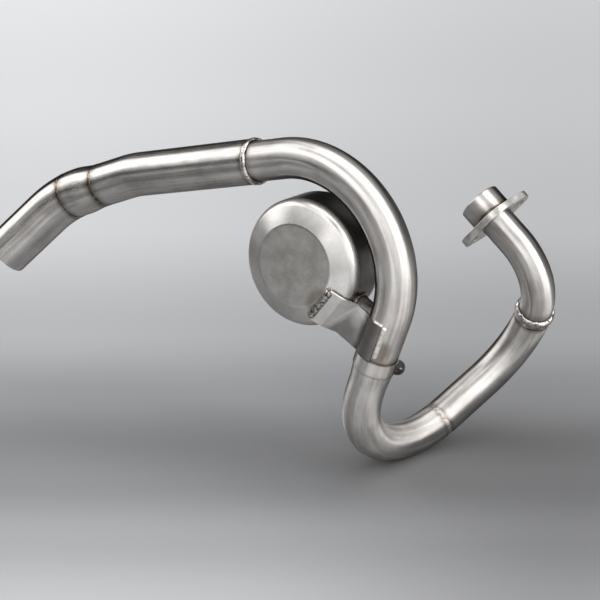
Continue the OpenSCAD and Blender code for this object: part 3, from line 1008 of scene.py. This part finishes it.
# %% A bevelled copy of a CAD piece
def bevelled_copy(node, material, bevel=0, sharp=30, more=None):
    """A copy of a CAD mesh, with soft edges when it is given a bevel; a function may add to it
    before it is finished.
    """
    bm = bmesh.new()
    bm.from_mesh(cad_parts[node].data)
    bmesh.ops.remove_doubles(bm, verts=bm.verts, dist=2e-6)
    if bevel:
        bmesh.ops.dissolve_limit(
            bm,
            angle_limit=math.radians(0.5),
            verts=bm.verts,
            edges=bm.edges,
            use_dissolve_boundaries=False,
        )
    if more:
        more(bm)
    made = finish_piece(bm, node, material, sharp)
    if bevel:
        soft = made.modifiers.new("soft_edges", "BEVEL")
        soft.width = bevel
        soft.segments = 2
        soft.limit_method = "ANGLE"
        soft.angle_limit = math.radians(40)
        soft.harden_normals = True
    return made


# %% [markdown]
# ## Steel of the cut pieces
# Sheet and plate have no brushed direction, so their clouds and scuffs are plain noise on the
# object's own coordinates. The bracket has no bump at all, because its wide soft folds would
# sparkle. Its saddle is welded to the arc, and around the arc it is painted nearly black as
# painted shade, which is placed by the distance from the arc's centre line.


# %% Plain steel for the cut pieces
def near_arc(tree, place, strength):
    """The strength of the painted shade on the saddle, close around the arc tube."""
    from_rim = vector_node(tree, "SUBTRACT", place, slip_rim)
    arm = vector_node(tree, "CROSS_PRODUCT", from_rim, heading(U_BEND))
    return ramp(tree, vector_node(tree, "LENGTH", arm), 22 * MM, 27 * MM, strength, 0.0)


def cut_steel(name, light, deep, rough, grit=0.3, saddle_shade=0.0):
    """Steel of a cut piece; grit is its bump, and the last number is the strength of the painted
    shade around the arc.
    """
    material, tree, shader = new_material(name)
    place = object_place(tree)
    clouds = grain_noise(tree, place, (90, 90, 90), 4.0)
    scuffs = grain_noise(tree, place, (700, 700, 700), 3.0)
    colour = colour_mix(tree, ramp(tree, clouds, 0.35, 0.65), deep, light)
    # Painted shade on the saddle, nearly black around the arc tube.
    if saddle_shade:
        colour = colour_mix(tree, near_arc(tree, place, saddle_shade), colour, heat_and_shade_black)
    roughness = ramp(tree, scuffs, 0.3, 0.7, *rough)
    dress_metal(tree, shader, colour, roughness, scuffs, grit, 0.04 * MM)
    return material


flange_steel = cut_steel(
    "flange_steel", (0.68, 0.665, 0.64, 1), (0.44, 0.425, 0.40, 1), (0.31, 0.38), 0.06
)
# The bracket's saddle gets painted shade around the arc.
bracket_steel = cut_steel(
    "bracket_steel", (0.86, 0.835, 0.81, 1), (0.76, 0.735, 0.71, 1), (0.33, 0.38), 0, 0.75
)
# The dark steel of the neck is painted shade; the spring lug takes the same dark steel.
dark_shade_steel = cut_steel(
    "dark_shade_steel", (0.20, 0.18, 0.165, 1), (0.06, 0.055, 0.05, 1), (0.30, 0.42)
)

# %% [markdown]
# ## The flange
# The flange is laser cut from plate and bolts the pipe to the head. The photograph shows a
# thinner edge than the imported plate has. Its points are drawn in towards the clamp face, so the
# outline and the stud holes stay as they are.

# %% Thin and copy the flange
flange_t = 9 * MM
shown_flange_t = 7 * MM


def draw_in(bm):
    for vert in bm.verts:
        depth = vert.co.dot(heading(0))
        vert.co -= heading(0) * depth * (1 - shown_flange_t / flange_t)


bevelled_copy("head_flange", flange_steel, 0.5 * MM, more=draw_in)

# %% [markdown]
# ## The bracket and the small pieces
# The bracket is one folded sheet from the drum's lid to the arc. The spring lug sits on the
# socket and holds the spring that keeps the slip joint shut. The neck carries gas between the
# arc and the drum, out of sight. All keep the shape of their CAD pieces.

# %% Copy the bracket, the lug, the neck and their welds
bevelled_copy("support_bracket", bracket_steel)
bevelled_copy("spring_lug", dark_shade_steel, 0.3 * MM)
bevelled_copy("spring_lug_weld", brown_weld)
# The neck is painted dark, as painted shade.
bevelled_copy("drum_neck", dark_shade_steel)
bevelled_copy("neck_tube_weld", brown_weld)
bevelled_copy("neck_drum_weld", brown_weld)
bevelled_copy("bracket_lid_weld", bright_weld)

# %% [markdown]
# ## The bead along the saddle
# The saddle is also welded along its free edge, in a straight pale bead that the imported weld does
# not have. It is a thin rod with round ends and a slight ripple, so it is spun about its own
# length. Then it is joined to the copy of the bracket's tube weld, as it is the same weld.

# %% Lay a straight bead along the saddle's free edge
edge_bead_r = 3 * MM
edge_bead_proud = 2.1 * MM
edge_bead_length = 37 * MM
edge_bead_lift = 5 * MM
edge_bead_turn = math.radians(18.9)
edge_bead_ripple = 2.2 * MM
edge_bead_wave = 0.04
edge_bead_steps = 80


def edge_bead(bm):
    outward = Vector((0, -1, 0))
    sideways = heading(U_BEND).cross(outward)
    away = outward * math.cos(edge_bead_turn) + sideways * math.sin(edge_bead_turn)
    foot = slip_rim + heading(U_BEND) * edge_bead_lift
    foot += away * (arc_tube_d / 2 + edge_bead_proud - edge_bead_r)
    profile = []
    for k in range(edge_bead_steps + 1):
        up = edge_bead_length * k / edge_bead_steps
        inset = max(0.0, edge_bead_r - min(up, edge_bead_length - up))
        radius = math.sqrt(max(0.0, edge_bead_r**2 - inset**2))
        ripple = 1 + edge_bead_wave * math.cos(math.tau * up / edge_bead_ripple)
        profile.append((radius * ripple if 0 < k < edge_bead_steps else 0.0, up))
    bead = spun(profile, foot, heading(U_BEND), steps=24)
    mesh = bpy.data.meshes.new("edge_bead")
    bead.to_mesh(mesh)
    bead.free()
    bm.from_mesh(mesh)
    bpy.data.meshes.remove(mesh)


bevelled_copy("bracket_tube_weld", seam_weld, sharp=60, more=edge_bead)

# %% [markdown]
# ## Camera
# The camera stands where the photograph was taken, worked out from the pipe's own shape. It looks
# down on the right side of the pipe from the front, through a long lens.

# %% Place the camera
camera_place = Vector((944.9, -1592.4, 569.9)) * MM
camera_turn = math.radians(36.75)
camera_tilt = math.radians(19.72)

camera_data = bpy.data.cameras.new("camera")
camera_data.lens = 114
camera_data.sensor_width = 36
camera_data.clip_end = 100
camera = bpy.data.objects.new("camera", camera_data)
camera.location = camera_place
camera.rotation_euler = (math.pi / 2 - camera_tilt, 0, camera_turn)
bpy.context.scene.collection.objects.link(camera)
bpy.context.scene.camera = camera
print("the camera is", round(camera_place.length, 3), "m from the clamp face")

# %% [markdown]
# ## Floor
# The header stands on the lowest point of its U bend, in a pale grey studio. The floor is one
# wide sheet and takes the soft shadow. A backdrop of its own could give the grey behind the pipe,
# but a sheet that runs far back does the same and has no edge to hide.

# %% Lay the floor
floor_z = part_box("u_bend_tube")[0].z
floor_size = 16.0

bm = bmesh.new()
bmesh.ops.create_grid(
    bm, x_segments=1, y_segments=1, size=floor_size, matrix=Matrix.Translation((0, 0, floor_z))
)
floor_mesh = bpy.data.meshes.new("floor")
bm.to_mesh(floor_mesh)
bm.free()
floor = bpy.data.objects.new("floor", floor_mesh)
bpy.context.scene.collection.objects.link(floor)
print("the floor lies at", round(floor_z / MM, 1), "mm")

# %% [markdown]
# ## Paint of the floor
# In the photograph the floor is light near the camera, darkest just behind the pipe and light
# again far away, and it darkens towards the right. The paint repeats that light and shade with
# bands across the floor, measured from the point below the camera, so the bands are painted light
# and painted shade. Just outside the view it is painted pale near the camera and on the near
# right, and dark on the left, for the steel to reflect. Far outside the view of the photograph it
# fades to one plain grey, so the other views show a quiet floor.

# %% Where the floor is light and dark
# Painted light and shade: the grey of the floor in bands by distance ahead.
floor_light_stops = [
    # distance ahead of the camera's foot, grey
    (0.40, 0.60),
    (1.00, 0.84),
    (1.36, 0.86),
    (1.46, 0.46),
    (1.60, 0.34),
    (1.72, 0.24),
    (1.82, 0.215),
    (1.95, 0.29),
    (2.15, 0.385),
    (2.60, 0.52),
    (3.40, 0.575),
    (4.60, 0.62),
]
# The floor is painted darker towards the right, as painted shade.
right_share = 0.76
near_right_loss = 0.2
view_half_width = 0.165
view_edge_soft = 0.35
# Beside the view the floor is painted dark on the left and pale on the near right, for the steel to
# reflect.
left_grey = 0.14
near_right_grey, far_right_grey = 0.85, 0.3
plain_grey = 0.42
plain_from, plain_at = 1.8, 3.6
print("the floor is painted in", len(floor_light_stops), "bands")


# %% Measure the floor from the point below the camera
floor_paint, tree, shader = new_material("floor_paint")
view_ahead = Vector((-math.sin(camera_turn), math.cos(camera_turn), 0))
view_right = Vector((math.cos(camera_turn), math.sin(camera_turn), 0))
camera_foot = Vector((camera_place.x, camera_place.y, floor_z))
place = object_place(tree)
from_foot = vector_node(tree, "SUBTRACT", place, camera_foot)
ahead = vector_node(tree, "DOT_PRODUCT", from_foot, view_ahead)
sideways = vector_node(tree, "DOT_PRODUCT", from_foot, view_right)
past_foot = math_node(tree, "MAXIMUM", ahead, 1.0)
print("the floor is measured along", [round(c, 3) for c in view_ahead])

# %% Paint what the photograph shows
near, far = floor_light_stops[0][0], floor_light_stops[-1][0]
scaled = wire(tree, "ShaderNodeMapRange", {0: ahead, 1: near, 2: far, 3: 0.0, 4: 1.0})
bands = wire(tree, "ShaderNodeValToRGB", {0: scaled.outputs[0]})
bands.color_ramp.interpolation = "EASE"
while len(bands.color_ramp.elements) < len(floor_light_stops):
    bands.color_ramp.elements.new(0.5)
for element, (distance, grey) in zip(bands.color_ramp.elements, floor_light_stops):
    element.position = (distance - near) / (far - near)
    element.color = (grey * 0.99, grey, grey * 1.02, 1)
spread = math_node(tree, "DIVIDE", sideways, past_foot)
# Painted shade towards the right of the view.
across = ramp(tree, spread, -0.16, 0.16, 1.0, right_share)
near_right = math_node(
    tree,
    "MULTIPLY",
    ramp(tree, ahead, 1.5, 2.1, near_right_loss, 0.0),
    ramp(tree, spread, -0.05, 0.16),
)
across = math_node(tree, "SUBTRACT", across, near_right)
painted_light_bands = vector_node(tree, "MULTIPLY", bands.outputs[0], across)
print("the bands end at", far, "m")

# %% Paint the rest of the floor
view_edge = math_node(tree, "MULTIPLY", past_foot, view_half_width)
beyond = math_node(tree, "SUBTRACT", math_node(tree, "ABSOLUTE", sideways), view_edge)
# Beside the view: painted dark on the left, pale on the near right.
outside = ramp(tree, beyond, 0.0, view_edge_soft)
on_right = ramp(tree, sideways, -0.1, 0.1)
right_grey = ramp(tree, ahead, 1.6, 2.2, near_right_grey, far_right_grey)
side_grey = grey_mix(tree, on_right, left_grey, right_grey)
far_away = ramp(tree, vector_node(tree, "LENGTH", place), plain_from, plain_at)
side_grey = grey_mix(tree, far_away, side_grey, plain_grey)
paint = colour_mix(tree, outside, painted_light_bands, as_grey(tree, side_grey))
tree.links.new(paint, shader.inputs["Base Color"])
shader.inputs["Roughness"].default_value = 1.0
shader.inputs["Specular IOR Level"].default_value = 0.0
floor_mesh.materials.append(floor_paint)
print("beyond the view the floor fades to", plain_grey)

# %% [markdown]
# ## Light
# Metal shows the room around it, so the room matters more than the lamps. Area lamps would give
# hard-edged rectangles in the steel. The light comes from the world instead: a dim room with soft
# boxes, each a patch with blurred edges, and a pale ceiling. The strongest box stands beyond the
# pipe on the right and draws the long highlights. The gaps between the boxes draw the dark bands.

# %% The soft boxes of the room
room_level = 0.025
soft_boxes = [
    # azimuth, half width, soft edge, lowest, highest, soft edge, strength
    (1, 26, 6, 0, 66, 9, 3.1),
    (-80, 6, 3, 14, 60, 8, 2.0),
    (-52, 22, 9, 0, 44, 10, 1.7),
    (-165, 22, 8, 10, 50, 7, 2.3),
    (-120, 40, 10, 34, 58, 6, 1.5),
    (60, 45, 15, 34, 75, 10, 0.6),
    (0, 200, 10, 66, 100, 7, 2.4),
]


def soft_box(tree, look, lift, azimuth, half, soft_side, low, high, soft_top, strength):
    """The light of one box in the direction that is looked at; angles are in degrees."""
    turned = math.radians(azimuth)
    to_box = Vector((-math.sin(turned), math.cos(turned), 0))
    to_side = Vector((math.cos(turned), math.sin(turned), 0))
    reach = [vector_node(tree, "DOT_PRODUCT", look, toward) for toward in (to_box, to_side)]
    aside = math_node(tree, "ABSOLUTE", math_node(tree, "ARCTAN2", *reach))
    inside = ramp(
        tree, aside, math.radians(half - soft_side), math.radians(half + soft_side), strength, 0
    )
    above = ramp(tree, lift, math.radians(low - soft_top), math.radians(low + soft_top))
    below = ramp(tree, lift, math.radians(high - soft_top), math.radians(high + soft_top), 1, 0)
    return math_node(tree, "MULTIPLY", math_node(tree, "MULTIPLY", inside, above), below)


# %% Light the room
world = bpy.data.worlds.new("studio")
bpy.context.scene.world = world
world.use_nodes = True
tree = world.node_tree
background = tree.nodes["Background"]
look = wire(tree, "ShaderNodeTexCoord").outputs["Generated"]
lift = math_node(tree, "ARCSINE", wire(tree, "ShaderNodeSeparateXYZ", {0: look}).outputs[2])
total = None
for box in soft_boxes:
    glow = soft_box(tree, look, lift, *box)
    total = glow if total is None else math_node(tree, "ADD", total, glow)
total = math_node(tree, "ADD", total, room_level)
tree.links.new(as_grey(tree, total), background.inputs["Color"])
background.inputs["Strength"].default_value = 1.0
bpy.context.scene.view_settings.view_transform = "Standard"
print("the room has", len(soft_boxes), "soft boxes")
